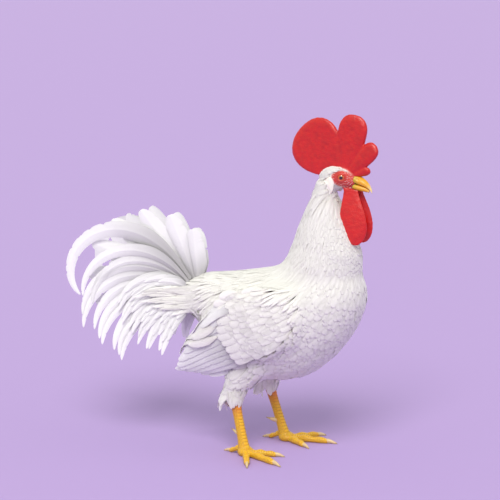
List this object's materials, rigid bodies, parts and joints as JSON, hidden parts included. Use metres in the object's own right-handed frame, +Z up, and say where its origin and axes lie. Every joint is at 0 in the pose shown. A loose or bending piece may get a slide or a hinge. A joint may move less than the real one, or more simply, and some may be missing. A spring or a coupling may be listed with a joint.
{
  "type": "rooster",
  "caption": "Life-size white rooster of a light large-combed breed, standing still with its head up, wings folded and tail raised.",
  "frame": {"origin": "bottom centre of the bounding box, on the floor between the feet and the tail", "axes": "+Z up; the bird faces -Y, its tail points to +Y, and its left side is +X"},
  "size_m": [0.2074, 0.4878, 0.5169],
  "materials": {
    "plumage": "white contour, wing and tail feathers, soft, with separate vanes",
    "face": "bare red skin of the face, finely wrinkled",
    "comb": "bright red fleshy comb and wattles, pebbled and slightly waxy",
    "lobe": "white enamel-like ear lobe skin",
    "bill": "yellow horn, orange in the middle and pale at the tip",
    "eye": "wet eye with an orange-brown iris and a black pupil",
    "leg": "yellow scaled skin of the shanks and toes, redder at the hocks",
    "claw": "horn-coloured claws and spurs"
  },
  "bodies": {
    "root": {"back": "plumage", "belly": "plumage", "bill_lower": "bill", "bill_upper": "bill", "breast": "plumage", "claw_back_left": "claw", "claw_back_right": "claw", "claw_inner_left": "claw", "claw_inner_right": "claw", "claw_middle_left": "claw", "claw_middle_right": "claw", "claw_outer_left": "claw", "claw_outer_right": "claw", "comb": "comb", "earlobe_left": "lobe", "earlobe_right": "lobe", "eye_left": "eye", "eye_right": "eye", "head": "face", "neck_lower": "plumage", "neck_upper": "plumage", "saddle": "plumage", "shank_left": "leg", "shank_right": "leg", "spur_left": "claw", "spur_right": "claw", "tail_coverts_left": "plumage", "tail_coverts_right": "plumage", "tail_fan_left": "plumage", "tail_fan_right": "plumage", "tail_sickle_left": "plumage", "tail_sickle_right": "plumage", "tail_sickles_lesser_left": "plumage", "tail_sickles_lesser_right": "plumage", "thigh_left": "plumage", "thigh_right": "plumage", "toe_back_left": "leg", "toe_back_right": "leg", "toe_inner_left": "leg", "toe_inner_right": "leg", "toe_middle_left": "leg", "toe_middle_right": "leg", "toe_outer_left": "leg", "toe_outer_right": "leg", "wattle_left": "comb", "wattle_right": "comb", "wing_left_bow": "plumage", "wing_left_primaries": "plumage", "wing_left_secondaries": "plumage", "wing_right_bow": "plumage", "wing_right_primaries": "plumage", "wing_right_secondaries": "plumage"}
  },
  "joints": []
}
